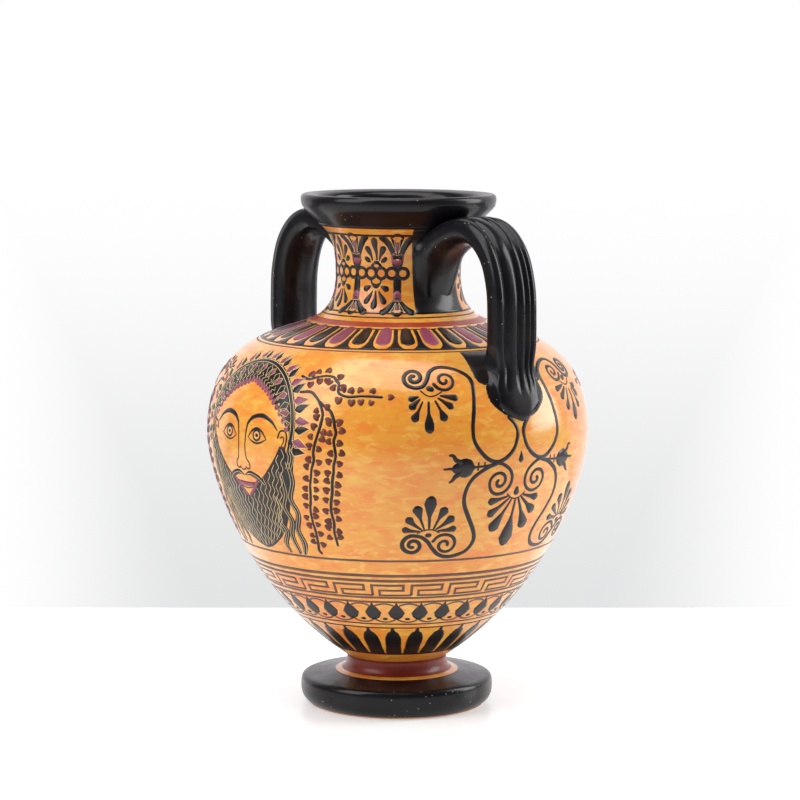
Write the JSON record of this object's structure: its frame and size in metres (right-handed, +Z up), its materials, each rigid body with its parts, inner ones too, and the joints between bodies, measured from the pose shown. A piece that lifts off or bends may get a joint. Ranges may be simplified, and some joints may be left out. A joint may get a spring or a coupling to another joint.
{
  "type": "neck amphora",
  "caption": "Small hollow neck amphora in glazed ceramic: ovoid body, concave neck, flared mouth, disc foot and ribbed strap handles, painted in black on orange.",
  "frame": {"origin": "centre of the foot's underside, on the surface it stands on", "axes": "+Z up along the wheel axis; +X through the middle of one handle, -X through the other; -Y through the middle of the panel with the bearded mask"},
  "size_m": [0.1806, 0.1784, 0.24],
  "materials": {
    "orange_glaze": "glossy, streaked by the brush",
    "black_paint": "semi-gloss",
    "red_paint": "semi-gloss",
    "purple_paint": "semi-gloss",
    "cream_line": "semi-gloss",
    "brown_line": "semi-gloss"
  },
  "bodies": {
    "root": {"amphora": "orange_glaze"}
  },
  "joints": []
}
